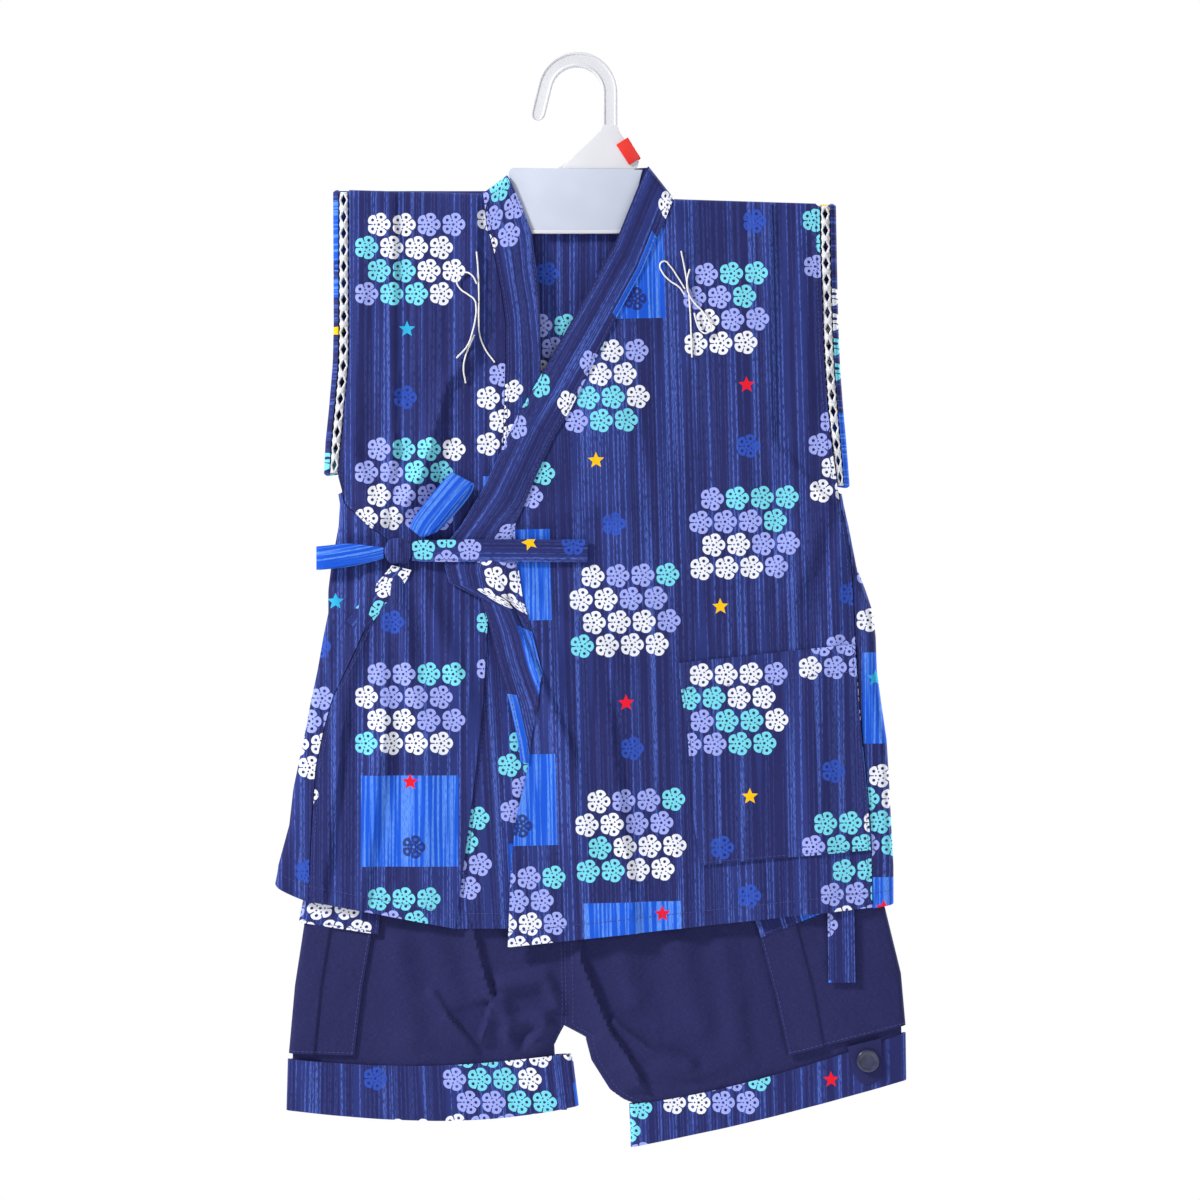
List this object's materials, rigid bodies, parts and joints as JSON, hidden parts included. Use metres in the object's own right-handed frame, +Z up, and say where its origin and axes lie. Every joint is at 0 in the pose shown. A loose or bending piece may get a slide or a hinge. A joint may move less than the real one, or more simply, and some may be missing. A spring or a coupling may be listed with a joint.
{
  "type": "jinbei set on a hanger",
  "caption": "Child's crossover cotton jacket with side tie, lace at the armholes and a patch pocket, over turned-up shorts, hung flat on a plastic hanger.",
  "frame": {"origin": "the seat of the hanger's hook, the middle of the inner top of its curve, where a rail bears", "axes": "+Z up, -Y out of the jacket's front, +X towards the wearer's left"},
  "size_m": [0.417, 0.0203, 0.7231],
  "materials": {
    "printed_cotton": "matt woven cotton with a dyed stripe and print",
    "navy_cotton": "matt plain-woven navy cotton",
    "lace": "white openwork insertion",
    "hanger_plastic": "smooth pale plastic",
    "board_plastic": "cloudy translucent plastic",
    "chip_plastic": "smooth red plastic",
    "button_plastic": "semi-gloss navy resin",
    "thread": "twisted white cotton"
  },
  "bodies": {
    "root": {"hanger_hook": "hanger_plastic", "hanger_arms": "hanger_plastic", "hanger_board": "board_plastic", "size_chip": "chip_plastic", "front_right": "printed_cotton", "overlap_panel_right": "printed_cotton", "front_left": "printed_cotton", "collar_right": "printed_cotton", "collar_left": "printed_cotton", "collar_back": "printed_cotton", "back": "printed_cotton", "insertion_right_front": "lace", "insertion_right_back": "lace", "insertion_left_front": "lace", "insertion_left_back": "lace", "sleeve_right": "printed_cotton", "sleeve_left": "printed_cotton", "patch_pocket": "printed_cotton", "tie_knot": "printed_cotton", "tie_loop_side": "printed_cotton", "tie_loop_top": "printed_cotton", "tie_end_long": "printed_cotton", "tie_end_short": "printed_cotton", "tie_inner": "printed_cotton", "leg_right_front": "navy_cotton", "leg_right_back": "navy_cotton", "leg_left_front": "navy_cotton", "leg_left_back": "navy_cotton", "waistband": "navy_cotton", "cuff_right": "printed_cotton", "cuff_left": "printed_cotton", "cargo_pocket_right": "navy_cotton", "cargo_pocket_left": "navy_cotton", "pocket_flap_right": "printed_cotton", "pocket_flap_left": "printed_cotton", "cuff_tab": "navy_cotton", "cuff_button": "button_plastic", "thread_right_long": "thread", "thread_right_loop": "thread", "thread_right_short": "thread", "thread_left_long": "thread", "thread_left_loop": "thread", "thread_left_upper": "thread"}
  },
  "joints": []
}
